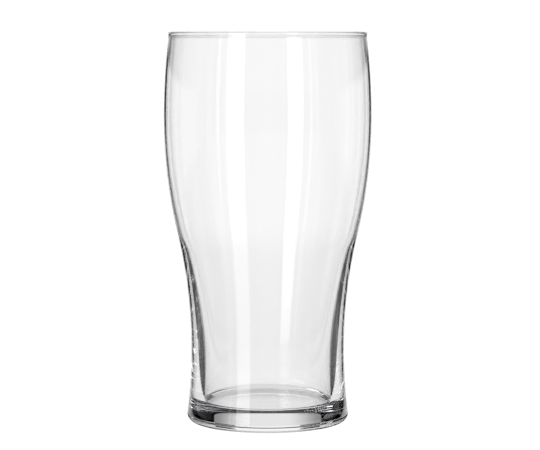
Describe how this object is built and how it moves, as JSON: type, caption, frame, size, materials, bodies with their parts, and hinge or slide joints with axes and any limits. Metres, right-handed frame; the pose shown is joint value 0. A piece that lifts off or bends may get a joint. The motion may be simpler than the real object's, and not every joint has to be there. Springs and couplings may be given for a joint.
{
  "type": "pint glass",
  "caption": "Clear straight-footed pint glass with a wide belly under the rim, a drawn-in waist and a thick base, for serving beer or water.",
  "frame": {"origin": "centre of the flat bearing ring the glass stands on", "axes": "+Z along the axis of the glass, up towards the mouth; X and Y are any two directions across it, because it is round"},
  "size_m": [0.0852, 0.0852, 0.16],
  "materials": {
    "glass": "clear soda-lime glass, fire polished, with a very faint cool tint where it is thick"
  },
  "bodies": {
    "root": {"tumbler": "glass"}
  },
  "joints": []
}
